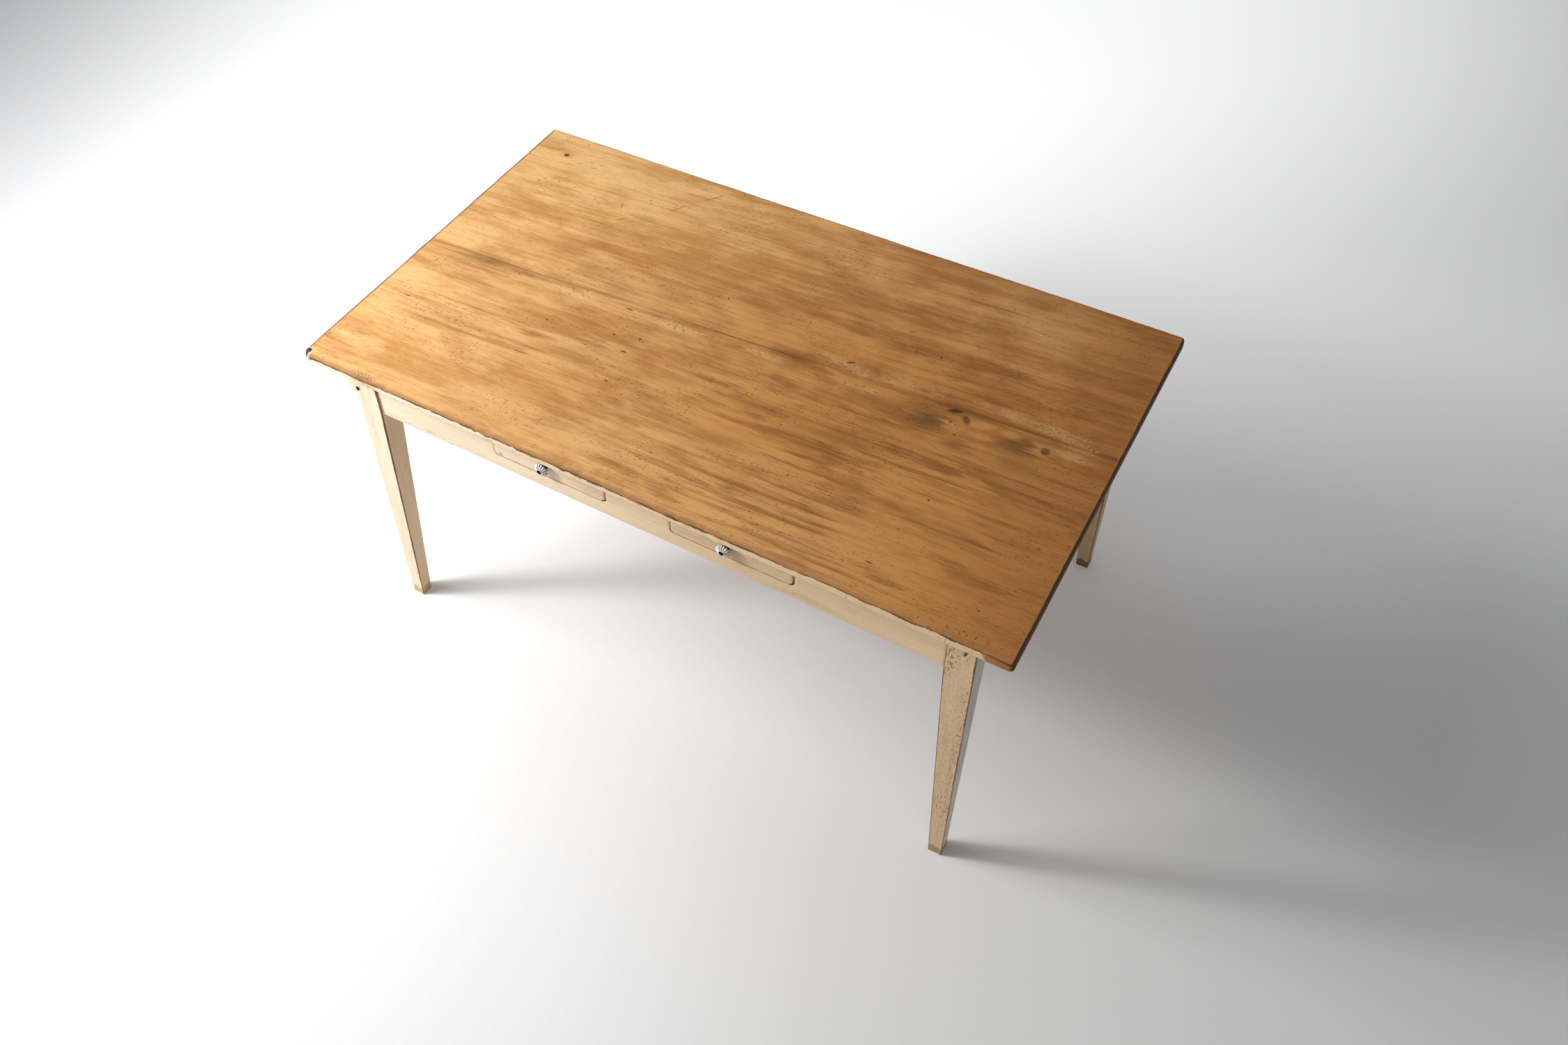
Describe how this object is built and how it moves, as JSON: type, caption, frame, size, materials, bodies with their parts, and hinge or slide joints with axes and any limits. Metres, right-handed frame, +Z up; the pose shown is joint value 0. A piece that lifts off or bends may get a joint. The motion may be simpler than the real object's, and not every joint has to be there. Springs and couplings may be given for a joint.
{
  "type": "kitchen table",
  "caption": "Old pine kitchen table: a plank top with a slanting seam on a cream-painted base with tapered square legs, and flush drawers with fluted knobs that slide out of the front apron.",
  "frame": {"origin": "on the floor, under the middle of the table top", "axes": "+X along the table to the right as seen from the drawers, +Y from the drawers to the back, +Z up"},
  "size_m": [1.6, 0.934, 0.77],
  "materials": {
    "top_pine": "bare, aged and worn",
    "painted_wood": "old cream paint, chipped",
    "bare_wood": "unpainted",
    "knob_metal": "worn grey",
    "screw_steel": "dark, dull"
  },
  "bodies": {
    "table": {"top_front_board": "top_pine", "top_rear_board": "top_pine", "front_left_leg": "painted_wood", "front_right_leg": "painted_wood", "back_left_leg": "painted_wood", "back_right_leg": "painted_wood", "front_apron": "painted_wood", "back_apron": "painted_wood", "left_apron": "painted_wood", "right_apron": "painted_wood", "left_batten": "painted_wood", "right_batten": "bare_wood", "top_blocks": "bare_wood", "drawer_stops": "bare_wood", "top_dowels": "bare_wood", "apron_pegs": "painted_wood", "batten_screws": "screw_steel", "block_screws": "screw_steel", "left_drawer_left_runner": "bare_wood", "left_drawer_left_guide": "bare_wood", "left_drawer_right_runner": "bare_wood", "left_drawer_right_guide": "bare_wood", "right_drawer_left_runner": "bare_wood", "right_drawer_left_guide": "bare_wood", "right_drawer_right_runner": "bare_wood", "right_drawer_right_guide": "bare_wood"},
    "left_drawer": {"left_drawer_front": "painted_wood", "left_drawer_left_side": "bare_wood", "left_drawer_right_side": "bare_wood", "left_drawer_back": "bare_wood", "left_drawer_bottom": "bare_wood", "left_drawer_brads": "screw_steel", "left_drawer_knob": "knob_metal", "left_drawer_knob_screw": "screw_steel"},
    "right_drawer": {"right_drawer_front": "painted_wood", "right_drawer_left_side": "bare_wood", "right_drawer_right_side": "bare_wood", "right_drawer_back": "bare_wood", "right_drawer_bottom": "bare_wood", "right_drawer_brads": "screw_steel", "right_drawer_knob": "knob_metal", "right_drawer_knob_screw": "screw_steel"}
  },
  "joints": [
    {"name": "left_drawer_slide", "type": "slide", "parent": "table", "child": "left_drawer", "axis": [0, -1, 0], "range_m": [0, 0.33]},
    {"name": "right_drawer_slide", "type": "slide", "parent": "table", "child": "right_drawer", "axis": [0, -1, 0], "range_m": [0, 0.33]}
  ]
}
